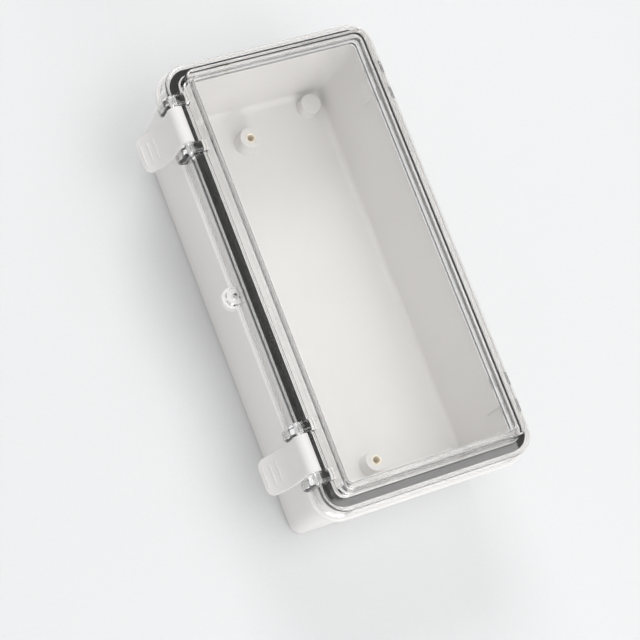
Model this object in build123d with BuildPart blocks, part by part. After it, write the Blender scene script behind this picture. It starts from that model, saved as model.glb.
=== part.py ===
from build123d import *
from math import asin, cos, radians, sin, sqrt, tan
import os

os.makedirs("parts", exist_ok=True)

# A waterproof junction box, lying on its back: a moulded base, a clear lid that is hinged
# along one long side, and two levers on the other long side that hook it shut.
# Millimetres. +Z runs from the back to the lid, +Y along the box, and the hinges are at +X.

# Base shell
base_length = 200.0         # over the lip, along Y
base_width = 99.0           # over the lip, along X
base_height = 50.0          # back face to the top of the lip
lip_height = 3.0
lip_overhang = 4.2          # from the side wall's outer face to the lip's edge
lip_corner = 11.5           # corner radius of the lip
lip_round = 0.7
wall = 2.2
floor_thickness = 3.0
rim_height = 6.0            # the wall goes on above the lip, up to the gasket
wall_draft = 2.8            # degrees, narrowing towards the back
cavity_draft = 2.2
floor_round = 3.0
back_round = 1.5

# Bosses and holes in the base
insert_inset = 24.6         # from the lip's ends to the two threaded inserts
insert_boss_height = 8.0
insert_boss_radius = 5.1
insert_radius = 2.4
insert_length = 6.0
insert_thread_radius = 1.5
insert_seat = 0.02          # the insert's side to its boss
insert_chamfer = 0.3
foot_inset = 15.5           # from the lip's edges to the blind screw holes in the back face
foot_boss_radius = 4.9
foot_boss_height = 5.5
foot_hole_radius = 1.8
foot_hole_depth = 7.0
boss_round = 0.5
boss_draft = 3.0

# Lid
lip_ledge = 1.5             # how far the lip stands out past the lid
lid_seat = 0.2              # skirt to lip, and rib to rim, when shut
skirt_height = 10.5
flange_thickness = 2.6
flange_round = 1.6
window_inset = 6.0          # from the skirt to the raised window's foot
window_height = 9.3
window_corner = 4.0
window_draft = 2.0
window_wall = 2.8
window_round = 0.9
window_inner_round = 0.7
window_foot_round = 1.0

window_mark_radius = 0.7    # the small round marks that the mould's pins leave on the flange
window_mark_depth = 0.25
mark_places = (-0.38, 0.13)  # along X at both ends of the flange, as shares of the width

# Gasket
gasket_overhang = 0.5       # gasket past the outside of the base's wall
gasket_inward = 0.9         # gasket past the inside of the base's wall, under the window's wall
gasket_side_gap = 0.2       # gasket to the inside of the skirt
gasket_seat = 0.1           # gasket to its channel and to the rim
channel_rib = 1.4

# Latches
latch_inset = 28.0          # from the lip's ends to the middles of the two latches
lever_width = 15.8
lever_side_gap = 0.15
lever_gap = 0.5             # lip's edge to the lever's inner face
lever_thickness = 1.8
lever_drop = 27.5           # pivot to the tip of the grip
flare_drop = 9.8            # pivot to where the grip starts to flare
flare_out = 7.8
barrel_radius = 3.2
barrel_clearance = 0.35
pivot_rise = 1.0            # pivot above the flange
hook_reach = 1.3            # how far the hook goes in under the lip
hook_gap = 0.3
hook_height = 2.0
grip_corner = 3.5
lever_round = 0.4
grip_rib_radius = 0.45
grip_rib_count = 3
grip_rib_pitch = 3.3
grip_rib_margin = 1.6
web_thickness = 1.2
web_depth = 1.6
web_height = 8.0

# Brackets on the lid that carry the latches
bracket_width = 5.2
bracket_radius = 3.4        # round the pin
bracket_rise = 2.2          # foot of the outer face above the skirt's bottom
bracket_round = 1.6

# Pins
hinge_pin_radius = 1.5
latch_pin_radius = 0.75
pin_clearance = 0.05        # radial, in every bore that a pin goes through
hinge_pin_chamfer = 0.3
latch_pin_chamfer = 0.2

# Hinges
hinge_inset = 28.0          # from the lip's ends to the middles of the two hinges
knuckle_radius = 2.6
knuckle_out = 0.1           # hinge axis outside the lip's edge
knuckle_drop = 5.0          # hinge axis below the lip's top
base_knuckle_width = 6.5
lid_knuckle_width = 5.0
knuckle_gap = 0.25
arm_thickness = 2.9
arm_out = 0.2               # arm's outer face outside the hinge axis
arm_rise = 4.0              # arm's height up the skirt
notch_clearance = 0.4
pad_width = 8.4
pad_thickness = 0.6
pad_height = 17.7

# Sealing ears
ear_out = 1.3               # ear's centre outside the skirt
lid_ear_radius = 3.6
base_ear_radius = 4.8
lid_ear_thickness = 2.5
seal_hole_radius = 1.25

# Places worked out from the sizes above
lip_bottom = base_height - lip_height
rim_top = base_height + rim_height
wall_x = base_width / 2 - lip_overhang
wall_y = base_length / 2 - lip_overhang
wall_corner = lip_corner - lip_overhang
cavity_x = wall_x - wall
cavity_y = wall_y - wall
cavity_corner = wall_corner - wall
lid_x = base_width / 2 - lip_ledge
lid_y = base_length / 2 - lip_ledge
lid_corner = lip_corner - lip_ledge
window_width = 2 * (lid_x - window_inset)
window_length = 2 * (lid_y - window_inset)
insert_spacing = base_length - 2 * insert_inset
foot_spacing_x = base_width - 2 * foot_inset
foot_spacing_y = base_length - 2 * foot_inset
skirt_bottom = base_height + lid_seat
flange_top = skirt_bottom + skirt_height
flange_under = flange_top - flange_thickness
lid_top = flange_top + window_height
gasket_width = wall + gasket_overhang + gasket_inward
gasket_x = wall_x + gasket_overhang
gasket_y = wall_y + gasket_overhang
gasket_corner = wall_corner + gasket_overhang
gasket_bottom = rim_top + gasket_seat
channel_x = gasket_x - gasket_width - gasket_seat
channel_y = gasket_y - gasket_width - gasket_seat
channel_corner = gasket_corner - gasket_width - gasket_seat
hinge_bore_radius = hinge_pin_radius + pin_clearance
latch_bore_radius = latch_pin_radius + pin_clearance
lever_inner_x = -(base_width / 2 + lever_gap)
lever_outer_x = lever_inner_x - lever_thickness
pivot_x = lever_outer_x + barrel_radius
pivot_z = flange_top + pivot_rise
bracket_inner = lever_width / 2 + lever_side_gap
latch_y = base_length / 2 - latch_inset
latch_places = {"upper": latch_y, "lower": -latch_y}
hinge_x = base_width / 2 + knuckle_out
hinge_z = base_height - knuckle_drop
arm_outer_x = hinge_x + arm_out
arm_inner_x = arm_outer_x - arm_thickness
lid_knuckle_y = base_knuckle_width / 2 + knuckle_gap + lid_knuckle_width / 2
hinge_half = lid_knuckle_y + lid_knuckle_width / 2
hinge_y = base_length / 2 - hinge_inset
hinge_places = {"upper": hinge_y, "lower": -hinge_y}
ear_x = -(lid_x + ear_out)
tolerance = 0.01


def across(y):
    """The plane at a station along the box, with its own x and y along X and Z."""
    return Plane(origin=(0, y, 0), x_dir=(1, 0, 0), z_dir=(0, -1, 0))


def slab(half_x, half_y, corner, bottom, height, mode=Mode.ADD):
    """A rounded rectangle stood up from its bottom height."""
    with BuildSketch(Plane.XY.offset(bottom)) as outline:
        RectangleRounded(2 * half_x, 2 * half_y, corner)
    extrude(outline.sketch, amount=height, mode=mode)


def tapered(half_x, half_y, corner, start, height, draft, way=1, mode=Mode.ADD):
    """A rounded rectangle that narrows by the draft as it goes up, or down where the way is -1."""
    level = Plane(origin=(0, 0, start), x_dir=(1, 0, 0), z_dir=(0, 0, way))
    with BuildSketch(level) as outline:
        RectangleRounded(2 * half_x, 2 * half_y, corner)
    extrude(outline.sketch, amount=height, taper=draft, mode=mode)


def rod(x, y, z, radius, width, mode=Mode.ADD):
    """A round bar, or a bore, along Y and centred on its point."""
    with BuildSketch(across(y)) as end:
        with Locations((x, z)):
            Circle(radius)
    extrude(end.sketch, amount=width / 2, both=True, mode=mode)


def block(x_low, x_high, y, width, z_low, z_high, mode=Mode.ADD):
    """A block between two X and two Z values, centred on a station along the box."""
    with BuildSketch(across(y)) as end:
        with Locations(((x_low + x_high) / 2, (z_low + z_high) / 2)):
            Rectangle(x_high - x_low, z_high - z_low)
    extrude(end.sketch, amount=width / 2, both=True, mode=mode)


def level_edges(part, height, beyond_x, beyond_y):
    """The edges at one height that lie outside a rectangle."""
    level = part.edges().filter_by_position(Axis.Z, height - tolerance, height + tolerance)
    return level.filter_by(
        lambda e: abs(e.center().X) > beyond_x - tolerance or abs(e.center().Y) > beyond_y - tolerance
    )


def level_face(part, height):
    """The largest flat face at one height."""
    flat = part.faces().filter_by(Plane.XY)
    level = flat.filter_by_position(Axis.Z, height - tolerance, height + tolerance)
    return level.sort_by(SortBy.AREA)[-1]


# The base is one moulding with drafted walls. Its lip carries the lid's skirt, and the wall
# goes on above the lip to press into the gasket.
with BuildPart() as base_shell:
    tapered(wall_x, wall_y, wall_corner, lip_bottom, lip_bottom, wall_draft, way=-1)
    fillet(level_face(base_shell, 0).edges(), back_round)
    slab(wall_x, wall_y, wall_corner, lip_bottom, lip_height + rim_height)
    slab(base_width / 2, base_length / 2, lip_corner, lip_bottom, lip_height)
    for height in (lip_bottom, base_height):
        fillet(level_edges(base_shell, height, wall_x + lip_round, wall_y + lip_round), lip_round)
    depth = rim_top - floor_thickness
    tapered(cavity_x, cavity_y, cavity_corner, rim_top, depth, cavity_draft, -1, Mode.SUBTRACT)
    fillet(level_face(base_shell, floor_thickness).edges(), floor_round)

    # Two bosses with blind holes for the threaded inserts, on the centre line.
    with BuildSketch(Plane.XY.offset(floor_thickness)):
        with GridLocations(0, insert_spacing, 1, 2):
            Circle(insert_boss_radius)
    extrude(amount=insert_boss_height, taper=boss_draft)
    insert_top = floor_thickness + insert_boss_height
    with BuildSketch(Plane.XY.offset(insert_top)):
        with GridLocations(0, insert_spacing, 1, 2):
            Circle(insert_radius + insert_seat)
    extrude(amount=-(insert_length + insert_seat), mode=Mode.SUBTRACT)

    # Four closed bosses in the corners, with screw holes that open only at the back.
    with BuildSketch(Plane.XY.offset(floor_thickness)):
        with GridLocations(foot_spacing_x, foot_spacing_y, 2, 2):
            Circle(foot_boss_radius)
    extrude(amount=foot_boss_height, taper=boss_draft)
    foot_top = floor_thickness + foot_boss_height
    crowns = base_shell.edges().filter_by(GeomType.CIRCLE)
    fillet(crowns.filter_by_position(Axis.Z, foot_top - tolerance, foot_top + tolerance), boss_round)
    with BuildSketch(Plane.XY):
        with GridLocations(foot_spacing_x, foot_spacing_y, 2, 2):
            Circle(foot_hole_radius)
    extrude(amount=foot_hole_depth, mode=Mode.SUBTRACT)

    # Each hinge has a knuckle under the lip, notches for the lid's arms, and a pad inside.
    notch_x = arm_inner_x - notch_clearance
    notch_far_x = hinge_x + lip_overhang
    notch_width = 2 * (hinge_half + notch_clearance)
    mid_wall = wall_x - wall / 2
    for y in hinge_places.values():
        block(notch_x, notch_far_x, y, notch_width, lip_bottom, base_height, Mode.SUBTRACT)
        block(mid_wall, hinge_x, y, base_knuckle_width, hinge_z - knuckle_radius, lip_bottom)
        rod(hinge_x, y, hinge_z, knuckle_radius, base_knuckle_width)
        rod(hinge_x, y, hinge_z, hinge_bore_radius, base_knuckle_width, Mode.SUBTRACT)
        pad_x = cavity_x - pad_height * tan(radians(cavity_draft)) - pad_thickness
        block(pad_x, mid_wall, y, pad_width, rim_top - pad_height, rim_top)

    # The ear for a seal or a padlock is level with the lip.
    with BuildSketch(Plane.XY.offset(lip_bottom)):
        with Locations((ear_x, 0)):
            Circle(base_ear_radius)
    extrude(amount=lip_height)
    with BuildSketch(Plane.XY.offset(lip_bottom)):
        with Locations((ear_x, 0)):
            Circle(seal_hole_radius)
    extrude(amount=lip_height, mode=Mode.SUBTRACT)
base_shell.part.label = "base_shell"
export_step(base_shell.part, "parts/base_shell.step")

# Brass inserts are pressed into the two bosses, level with their tops.
for place, y in {"upper": insert_spacing / 2, "lower": -insert_spacing / 2}.items():
    with BuildPart() as insert:
        with BuildSketch(Plane.XY.offset(insert_top - insert_length)):
            with Locations((0, y)):
                Circle(insert_radius)
                Circle(insert_thread_radius, mode=Mode.SUBTRACT)
        extrude(amount=insert_length)
        chamfer(insert.edges().filter_by(GeomType.CIRCLE).group_by(Axis.Z)[-1], insert_chamfer)
    insert.part.label = "insert_" + place
    export_step(insert.part, "parts/insert_" + place + ".step")

# Each lever hangs between two brackets. A bracket comes up from the skirt with an upright
# outer face, goes round the pin and runs back to the window's wall.
bracket_crown = pivot_z + bracket_radius
bracket_lean = (bracket_crown - flange_top) * tan(radians(window_draft))
bracket_end = bracket_lean + window_wall / 2 - window_width / 2
bracket_sill = flange_top - flange_thickness / 2
brackets = []
for y in latch_places.values():
    for side in (-1, 1):
        bracket_y = y + side * (bracket_inner + bracket_width / 2)
        with BuildPart() as bracket:
            with BuildSketch(across(bracket_y)):
                with Locations((pivot_x, pivot_z)):
                    Circle(bracket_radius)
                with BuildLine():
                    Polyline(
                        (pivot_x - bracket_radius, pivot_z),
                        (pivot_x - bracket_radius, skirt_bottom + bracket_rise),
                        (-lid_x + flange_round, skirt_bottom),
                        (-lid_x + flange_round, bracket_sill),
                        (bracket_end, bracket_sill),
                        (bracket_end, bracket_crown),
                        (pivot_x, bracket_crown),
                        close=True,
                    )
                make_face()
            extrude(amount=bracket_width / 2, both=True)
            fillet(bracket.faces().filter_by(Axis.Y).edges(), bracket_round)
            rod(pivot_x, bracket_y, pivot_z, latch_bore_radius, bracket_width, Mode.SUBTRACT)
        brackets.append(bracket.part)

# The lid is one clear moulding: a flange with a skirt, a raised window, and on its edges the
# brackets for the levers, the arms of the hinges and the ear for a seal.
with BuildPart() as lid:
    slab(lid_x, lid_y, lid_corner, skirt_bottom, skirt_height)
    fillet(level_face(lid, flange_top).edges(), flange_round)
    half_x = window_width / 2
    half_y = window_length / 2
    tapered(half_x, half_y, window_corner, flange_top, window_height, window_draft)
    fillet(level_face(lid, lid_top).edges(), window_round)
    fillet(level_face(lid, flange_top).inner_wires().edges(), window_foot_round)
    skirt_gap = gasket_overhang + gasket_side_gap
    skirt_depth = skirt_height - flange_thickness
    skirt_x = wall_x + skirt_gap
    skirt_y = wall_y + skirt_gap
    slab(skirt_x, skirt_y, wall_corner + skirt_gap, skirt_bottom, skirt_depth, Mode.SUBTRACT)
    glazing_corner = window_corner - window_wall / 2
    glazing_height = lid_top - window_wall - flange_under
    half_x = half_x - window_wall
    half_y = half_y - window_wall
    inside = Mode.SUBTRACT
    tapered(half_x, half_y, glazing_corner, flange_under, glazing_height, window_draft, 1, inside)
    fillet(level_face(lid, lid_top - window_wall).edges(), window_inner_round)

    # The rib that makes the gasket's channel, and the round marks of the mould's pins.
    rib_bottom = rim_top + lid_seat
    rib_x = channel_x - channel_rib
    rib_y = channel_y - channel_rib
    with BuildSketch(Plane.XY.offset(rib_bottom)):
        RectangleRounded(2 * channel_x, 2 * channel_y, channel_corner)
        RectangleRounded(2 * rib_x, 2 * rib_y, channel_corner - channel_rib / 2, mode=Mode.SUBTRACT)
    extrude(amount=flange_under - rib_bottom)
    mark_y = (lid_y - flange_round + window_length / 2 + window_foot_round) / 2
    with BuildSketch(Plane.XY.offset(flange_top)):
        with Locations([(share * base_width, end * mark_y) for share in mark_places for end in (-1, 1)]):
            Circle(window_mark_radius)
    extrude(amount=-window_mark_depth, mode=Mode.SUBTRACT)

    # The brackets, with a scoop between each two that clears the lever's barrel.
    for y in latch_places.values():
        rod(pivot_x, y, pivot_z, barrel_radius + barrel_clearance, 2 * bracket_inner, Mode.SUBTRACT)
    for each in brackets:
        add(each)

    # Two arms for each hinge come down through the notches in the lip.
    arm_top = skirt_bottom + 2 * arm_rise
    for y in hinge_places.values():
        for side in (-1, 1):
            arm_y = y + side * lid_knuckle_y
            with BuildSketch(across(arm_y)):
                with Locations((hinge_x, hinge_z)):
                    Circle(knuckle_radius)
                with BuildLine():
                    Polyline(
                        (arm_inner_x, hinge_z),
                        (arm_inner_x, skirt_bottom + arm_rise / 2),
                        (lid_x - flange_round, arm_top),
                        (lid_x, arm_top),
                        (arm_outer_x, skirt_bottom + arm_rise),
                        (arm_outer_x, hinge_z),
                        close=True,
                    )
                make_face()
                with Locations((hinge_x, hinge_z)):
                    Circle(hinge_bore_radius, mode=Mode.SUBTRACT)
            extrude(amount=lid_knuckle_width / 2, both=True)

    # The lid's ear for a seal stands over the base's.
    with BuildSketch(Plane.XY.offset(skirt_bottom)):
        with Locations((ear_x, 0)):
            Circle(lid_ear_radius)
    extrude(amount=lid_ear_thickness)
    with BuildSketch(Plane.XY.offset(skirt_bottom)):
        with Locations((ear_x, 0)):
            Circle(seal_hole_radius)
    extrude(amount=lid_ear_thickness, mode=Mode.SUBTRACT)
lid.part.label = "lid"
export_step(lid.part, "parts/lid.step")

# The gasket lies in the lid's channel, over the rim of the base.
with BuildPart() as gasket:
    with BuildSketch(Plane.XY.offset(gasket_bottom)):
        RectangleRounded(2 * gasket_x, 2 * gasket_y, gasket_corner)
        inner_x = gasket_x - gasket_width
        inner_y = gasket_y - gasket_width
        RectangleRounded(2 * inner_x, 2 * inner_y, gasket_corner - gasket_width, mode=Mode.SUBTRACT)
    extrude(amount=flange_under - gasket_seat - gasket_bottom)
gasket.part.label = "gasket"
export_step(gasket.part, "parts/gasket.step")

# A lever turns on its pin, reaches down past the lip, and hooks under it. Its plate is
# straight to the flare, and the grip follows an arc that leaves the box.
flare_top = pivot_z - flare_drop
grip_drop = lever_drop - flare_drop
flare_radius = (flare_out ** 2 + grip_drop ** 2) / (2 * flare_out)
flare_x = lever_outer_x - flare_radius
grip_angle = asin(grip_drop / flare_radius)


def on_flare(radius, share):
    """A point on the flare, from its top at 0 to the tip at 1."""
    angle = grip_angle * share
    return (flare_x + radius * cos(angle), flare_top - radius * sin(angle))


def mid_plate(height):
    """The middle of the plate at a height on the flare."""
    return flare_x + sqrt((flare_radius + lever_thickness / 2) ** 2 - (flare_top - height) ** 2)


for place, y in latch_places.items():
    with BuildPart() as latch:
        inner_radius = flare_radius + lever_thickness
        with BuildSketch(across(y)):
            with BuildLine():
                outer = [on_flare(flare_radius, share) for share in (0, 0.5, 1)]
                inner = [on_flare(inner_radius, share) for share in (1, 0.5, 0)]
                Polyline(inner[2], (lever_inner_x, pivot_z), (lever_outer_x, pivot_z), outer[0])
                ThreePointArc(*outer)
                Line(outer[2], inner[0])
                ThreePointArc(*inner)
            make_face()
        extrude(amount=lever_width / 2, both=True)
        tip = latch.edges().filter_by(lambda e: e.center().Z < flare_top - grip_drop + lever_thickness)
        fillet(tip.filter_by(Axis.Y, reverse=True).filter_by(GeomType.LINE), grip_corner)
        sides = latch.edges().filter_by(lambda e: abs(e.center().Y - y) > lever_width / 2 - grip_corner)
        fillet(sides.filter_by(lambda e: e.length > lever_thickness + tolerance), lever_round)
        rod(pivot_x, y, pivot_z, barrel_radius, lever_width)

        # The hook, and the webs that stiffen the grip behind it.
        hook_top = lip_bottom - hook_gap
        hook_x = -base_width / 2 + hook_reach
        hook_foot = hook_top - 2 * hook_height
        with BuildSketch(across(y)):
            with BuildLine():
                Polyline(
                    (mid_plate(hook_top), hook_top),
                    (hook_x, hook_top),
                    (hook_x, hook_top - hook_height / 2),
                    (mid_plate(hook_foot), hook_foot),
                    close=True,
                )
            make_face()
        extrude(amount=lever_width / 2 - lever_round - lever_side_gap, both=True)
        web_top = hook_top - hook_height / 2
        web_foot = web_top - web_height
        for station in (-lever_width / 3, 0, lever_width / 3):
            with BuildSketch(across(y + station)):
                with BuildLine():
                    Polyline(
                        (mid_plate(web_top), web_top),
                        (lever_inner_x + web_depth / 2, web_top),
                        (mid_plate(web_foot), web_foot),
                        close=True,
                    )
                make_face()
            extrude(amount=web_thickness / 2, both=True)

        # Ribs across the grip.
        for index in range(grip_rib_count):
            share = 1 - (grip_rib_margin + index * grip_rib_pitch) / grip_drop
            rib_x, rib_z = on_flare(flare_radius, share)
            rod(rib_x, y, rib_z, grip_rib_radius, lever_width - 2 * grip_corner)
        rod(pivot_x, y, pivot_z, latch_bore_radius, lever_width, Mode.SUBTRACT)
    latch.part.label = "latch_" + place
    export_step(latch.part, "parts/latch_" + place + ".step")

    with BuildPart() as latch_pin:
        pin_half = bracket_inner + bracket_width - latch_pin_chamfer
        rod(pivot_x, y, pivot_z, latch_pin_radius, 2 * pin_half)
        chamfer(latch_pin.edges().filter_by(GeomType.CIRCLE), latch_pin_chamfer)
    latch_pin.part.label = "latch_pin_" + place
    export_step(latch_pin.part, "parts/latch_pin_" + place + ".step")

# Steel pins hold the lid's arms to the knuckles of the base.
for place, y in hinge_places.items():
    with BuildPart() as hinge_pin:
        rod(hinge_x, y, hinge_z, hinge_pin_radius, 2 * hinge_half)
        chamfer(hinge_pin.edges().filter_by(GeomType.CIRCLE), hinge_pin_chamfer)
    hinge_pin.part.label = "hinge_pin_" + place
    export_step(hinge_pin.part, "parts/hinge_pin_" + place + ".step")
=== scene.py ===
import bpy
import numpy as np
from mathutils import Euler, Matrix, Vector

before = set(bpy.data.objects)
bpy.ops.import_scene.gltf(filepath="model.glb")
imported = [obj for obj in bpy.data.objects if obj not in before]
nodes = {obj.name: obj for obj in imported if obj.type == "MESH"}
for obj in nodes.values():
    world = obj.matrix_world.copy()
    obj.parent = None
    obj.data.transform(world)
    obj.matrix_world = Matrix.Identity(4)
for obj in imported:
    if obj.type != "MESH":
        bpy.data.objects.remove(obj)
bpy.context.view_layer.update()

# Camera. It looks down on the box from beyond the lever side and the near end, with a long
# lens, and is rolled so that the box leans to the left as it does in the photograph.
camera_place = (-0.39912, -0.20992, 0.93220)
camera_turn = (19.0616, -17.7611, -21.9847)
camera = bpy.data.objects.new("camera", bpy.data.cameras.new("camera"))
camera.data.sensor_width = 36.0
camera.data.lens = 135.0
camera.data.clip_start = 0.05
camera.data.clip_end = 20.0
camera.location = camera_place
camera.rotation_euler = Euler(np.radians(camera_turn), "XYZ")
bpy.context.scene.collection.objects.link(camera)
bpy.context.scene.camera = camera


# Base shell. One injection moulding in light grey ABS, satin, with the very fine grain of a
# spark-eroded mould and the slight change of tone that thick and thin places cool to.
class Wire:
    """One socket of a node tree. Sums, differences and products of wires add Math nodes, and
    node() adds any other node: its settings are set first, and then its sockets take values or
    wires. A wire without a socket only starts a tree."""

    def __init__(self, tree, socket=None):
        self.tree = tree
        self.socket = socket

    def node(self, kind, settings=None, sockets=None, out=0):
        made = self.tree.nodes.new(kind)
        for name, value in (settings or {}).items():
            setattr(made, name, value)
        for name, value in (sockets or {}).items():
            if isinstance(value, Wire):
                self.tree.links.new(value.socket, made.inputs[name])
            else:
                made.inputs[name].default_value = value
        return Wire(self.tree, made.outputs[out])

    def math(self, operation, left, right):
        return self.node("ShaderNodeMath", {"operation": operation}, {0: left, 1: right})

    def __add__(self, other):
        return self.math("ADD", self, other)

    def __radd__(self, other):
        return self.math("ADD", other, self)

    def __sub__(self, other):
        return self.math("SUBTRACT", self, other)

    def __rsub__(self, other):
        return self.math("SUBTRACT", other, self)

    def __mul__(self, other):
        return self.math("MULTIPLY", self, other)

    def __rmul__(self, other):
        return self.math("MULTIPLY", other, self)

    def noise(self, per_metre, detail, stretch=(1, 1, 1)):
        """Soft noise from 0 to 1 on the piece's own place, with so many features to the metre."""
        place = self.node("ShaderNodeTexCoord", out="Object")
        place = self.node("ShaderNodeMapping", None, {"Vector": place, "Scale": stretch})
        sockets = {"Vector": place, "Scale": per_metre, "Detail": detail}
        return self.node("ShaderNodeTexNoise", None, sockets)

    def smooth(self, start, end, low, high):
        """Low where this wire's value is below the start, high past the end, and smooth between."""
        settings = {"interpolation_type": "SMOOTHSTEP"}
        limits = {"From Min": start, "From Max": end, "To Min": low, "To Max": high}
        return self.node("ShaderNodeMapRange", settings, {"Value": self, **limits})

    def colour(self, low, high):
        """A colour between two, by this wire's value from 0 to 1."""
        factor, first, second, result = 0, 6, 7, 2
        sockets = {factor: self, first: (*low, 1), second: (*high, 1)}
        return self.node("ShaderNodeMix", {"data_type": "RGBA"}, sockets, result)

    def bump(self, depth):
        """A bumped normal, where this wire's height from 0 to 1 stands for a depth in metres."""
        return self.node("ShaderNodeBump", None, {"Height": self, "Strength": 1.0, "Distance": depth})

    def principled(self, **sockets):
        """A Principled shader with these sockets."""
        named = {name.replace("_", " "): value for name, value in sockets.items()}
        return self.node("ShaderNodeBsdfPrincipled", None, named)

    def show(self):
        """Puts this shader on the tree's output."""
        self.tree.links.new(self.socket, self.tree.nodes["out"].inputs["Surface"])


def new_material(name):
    """An empty material, and a wire that starts its tree."""
    material = bpy.data.materials.new(name)
    material.use_nodes = True
    material.node_tree.nodes.clear()
    material.node_tree.nodes.new("ShaderNodeOutputMaterial").name = "out"
    return material, Wire(material.node_tree)


def wear(material, *names):
    """Gives these CAD nodes the material as their only one."""
    for name in names:
        mesh = nodes[name].data
        mesh.materials.clear()
        mesh.materials.append(material)


grey_low = (0.775, 0.762, 0.749)
grey_high = (0.815, 0.803, 0.790)
grey_grain_depth = 0.00002
grey_abs, wire = new_material("light_grey_abs")
tone = wire.noise(22, 1)
grain = wire.noise(2600, 2)
wire.principled(
    Base_Color=(tone * 0.7 + grain * 0.3).colour(grey_low, grey_high),
    Roughness=0.40 + grain * 0.14,
    Specular_IOR_Level=0.45,
    Normal=grain.bump(grey_grain_depth),
).show()
wear(grey_abs, "base_shell")

# Threaded inserts. Turned brass, pressed into the bosses and level with their tops. The thread
# shows as fine rings down the hole, under a pale film of age.
brass_low = (0.98, 0.90, 0.76)
brass_high = (1.0, 0.96, 0.89)
thread_depth = 0.00008
turned_brass, wire = new_material("turned_brass")
film = wire.noise(900, 3)
insert_place = wire.node("ShaderNodeTexCoord", out="Object")
rings = {"Vector": insert_place, "Scale": 320.0, "Distortion": 0.4}
thread = wire.node("ShaderNodeTexWave", {"bands_direction": "Z"}, rings, "Fac")
wire.principled(
    Base_Color=film.colour(brass_low, brass_high),
    Metallic=0.8 - film * 0.8,
    Roughness=0.5 + film * 0.2,
    Normal=(thread * 0.8 + film * 0.2).bump(thread_depth),
).show()
wear(turned_brass, "insert_upper", "insert_lower")

# Gasket. A cord of black foam rubber that lies in the lid's channel, over the base's rim. It is
# matt, with fine pores all over its skin.
foam_low = (0.010, 0.0095, 0.009)
foam_high = (0.024, 0.023, 0.022)
pore_depth = 0.00006
foam, wire = new_material("foam_rubber")
pores = wire.noise(3000, 3)
wire.principled(
    Base_Color=pores.colour(foam_low, foam_high),
    Roughness=0.75 + pores * 0.2,
    Specular_IOR_Level=0.2,
    Normal=pores.bump(pore_depth),
).show()
wear(foam, "gasket")

# Lid. One injection moulding in clear polished polycarbonate, with the faint unevenness of a
# moulded face. Its shadow is pale where light goes straight through a face, and grey where
# light grazes a wall and has more of it to go through.
clear_low = (0.975, 0.975, 0.972)
clear_high = (0.99, 0.99, 0.988)
polycarbonate_ior = 1.585
flow_depth = 0.0000006
pale_shadow = (0.985, 0.983, 0.98, 1)
grey_shadow = (0.50, 0.495, 0.49, 1)
graze_start = 0.45
graze_end = 0.95
clear_pc, wire = new_material("clear_polycarbonate")
flow = wire.noise(40, 2)
haze = wire.noise(160, 3)
clear_body = wire.principled(
    Base_Color=haze.colour(clear_low, clear_high),
    Transmission_Weight=1.0,
    IOR=polycarbonate_ior,
    Roughness=haze * 0.004,
    Normal=flow.bump(flow_depth),
)
tilt = wire.node("ShaderNodeLayerWeight", None, {"Blend": 0.5}, "Facing")
graze = tilt.smooth(graze_start, graze_end, 0.0, 1.0)
straight = wire.node("ShaderNodeBsdfTransparent", None, {"Color": pale_shadow})
grazing = wire.node("ShaderNodeBsdfTransparent", None, {"Color": grey_shadow})
lid_shadow = wire.node("ShaderNodeMixShader", None, {0: graze, 1: straight, 2: grazing})
shadow_ray = wire.node("ShaderNodeLightPath", out="Is Shadow Ray")
wire.node("ShaderNodeMixShader", None, {0: shadow_ray, 1: clear_body, 2: lid_shadow}).show()
wear(clear_pc, "lid")

# Levers. One moulding each in off-white ABS, close to the base in colour but smoother, with
# faint sink marks in its tone and bump, spread at random over the lever rather than only where
# the hook and the webs meet the plate.
lever_low = (0.715, 0.701, 0.691)
lever_high = (0.755, 0.742, 0.732)
sink_depth = 0.00003
lever_abs, wire = new_material("off_white_abs")
sink = wire.noise(90, 1)
lever_grain = wire.noise(2200, 2)
wire.principled(
    Base_Color=sink.colour(lever_low, lever_high),
    Roughness=0.32 + lever_grain * 0.12,
    Normal=(sink * 0.7 + lever_grain * 0.3).bump(sink_depth),
).show()
wear(lever_abs, "latch_upper", "latch_lower")

# Pins. Drawn stainless wire, thin in the levers and thicker in the hinges, cut to length and
# pushed in from the side. It is bright, with draw lines along it.
steel_low = (0.52, 0.52, 0.51)
steel_high = (0.66, 0.66, 0.65)
draw_depth = 0.00001
along_pin = (1, 0.04, 1)
steel, wire = new_material("drawn_steel")
draw = wire.noise(1800, 2, along_pin)
wire.principled(
    Base_Color=draw.colour(steel_low, steel_high),
    Metallic=1.0,
    Roughness=0.2 + draw * 0.18,
    Normal=draw.bump(draw_depth),
).show()
wear(steel, "latch_pin_upper", "latch_pin_lower", "hinge_pin_upper", "hinge_pin_lower")

# Studio floor. One wide sheet of matt pale board that the box lies on. It is a level square
# grid, with every point at the height of the box's back.
floor_half = 3.0
floor_steps = 24
board_low = (0.70, 0.705, 0.71)
board_high = (0.73, 0.735, 0.74)
fibre_depth = 0.00003
run = np.linspace(-floor_half, floor_half, floor_steps + 1)
grid_x, grid_y = np.meshgrid(run, run, indexing="ij")
corners = np.stack((grid_x, grid_y, np.zeros_like(grid_x)), axis=-1).reshape(-1, 3)
index = np.arange(corners.shape[0]).reshape(grid_x.shape)
quads = np.stack((index[:-1, :-1], index[1:, :-1], index[1:, 1:], index[:-1, 1:]), axis=-1)
floor_mesh = bpy.data.meshes.new("floor")
floor_mesh.from_pydata(corners.tolist(), [], quads.reshape(-1, 4).tolist())
floor = bpy.data.objects.new("floor", floor_mesh)
bpy.context.scene.collection.objects.link(floor)
board, wire = new_material("pale_board")
fibre = wire.noise(700, 2)
wire.principled(
    Base_Color=fibre.colour(board_low, board_high),
    Roughness=0.9,
    Normal=fibre.bump(fibre_depth),
).show()
floor_mesh.materials.append(board)

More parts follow.
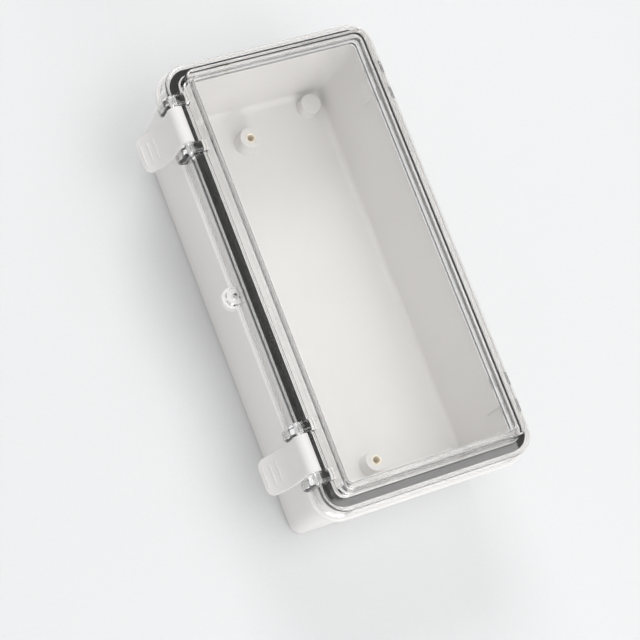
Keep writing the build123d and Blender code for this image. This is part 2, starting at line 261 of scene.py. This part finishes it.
# Studio room. White walls and ceiling that the lamps light evenly, and one dark cloth hung where
# the lid's flat top mirrors it, so the lid is clear there and bright in its rounded edges.
room_light = 0.69
room_white = (1, 1, 1, 1)
wall_white = (0.985, 0.99, 1.0, 1)
wall_shade = 0.95
cloth_shade = 0.22
cloth_direction = (0.4065, 0.2138, 0.888)
cloth_rim = 0.84     # cosine of the angle from the cloth's middle to where the wall begins
cloth_core = 0.945   # and to where the cloth is at its darkest
world = bpy.data.worlds.new("room")
bpy.context.scene.world = world
world.use_nodes = True
world.node_tree.nodes.clear()
world.node_tree.nodes.new("ShaderNodeOutputWorld").name = "out"
wire = Wire(world.node_tree)
direction = wire.node("ShaderNodeTexCoord", out="Generated")
towards_cloth = {0: direction, 1: cloth_direction}
nearness = wire.node("ShaderNodeVectorMath", {"operation": "DOT_PRODUCT"}, towards_cloth, "Value")
seen_shade = nearness.smooth(cloth_rim, cloth_core, wall_shade, cloth_shade)
seen = wire.node("ShaderNodeBackground", None, {"Color": wall_white, "Strength": seen_shade})
lit = wire.node("ShaderNodeBackground", None, {"Color": room_white, "Strength": room_light})
looked_at = wire.node("ShaderNodeLightPath", out="Is Camera Ray")
looked_at = looked_at + wire.node("ShaderNodeLightPath", out="Is Glossy Ray")
looked_at = looked_at + wire.node("ShaderNodeLightPath", out="Is Transmission Ray")
wire.node("ShaderNodeMixShader", None, {0: looked_at, 1: lit, 2: seen}).show()


# Lamps. Two square soft boxes, above the box and above its far end, a low one beyond the near
# end, and a narrow one that only the clear flange at the near end mirrors to the camera.
def soft_box(name, place, aim, width, length, power):
    """A lamp at a place, turned to the point that it is aimed at."""
    lamp = bpy.data.objects.new(name, bpy.data.lights.new(name, "AREA"))
    lamp.data.shape = "RECTANGLE"
    lamp.data.size = width
    lamp.data.size_y = length
    lamp.data.energy = power
    lamp.location = place
    lamp.rotation_euler = (Vector(aim) - Vector(place)).to_track_quat("-Z", "Y").to_euler()
    bpy.context.scene.collection.objects.link(lamp)


box_middle = (0, 0, 0.05)
flange_place = (0.6325, -0.15, 1.50)
below_flange_box = (0.6325, -0.15, 0)
soft_box("top_box", (0.05, -0.24, 0.90), box_middle, 0.5, 0.5, 2.05)
soft_box("near_box", (0.10, -1.35, 0.55), box_middle, 0.8, 0.5, 6.5)
soft_box("end_box", (0.10, 0.95, 0.85), box_middle, 0.6, 0.6, 5.4)
soft_box("flange_box", flange_place, below_flange_box, 0.265, 0.505, 1.0)

bpy.context.scene.view_settings.view_transform = "Standard"
bpy.context.view_layer.update()
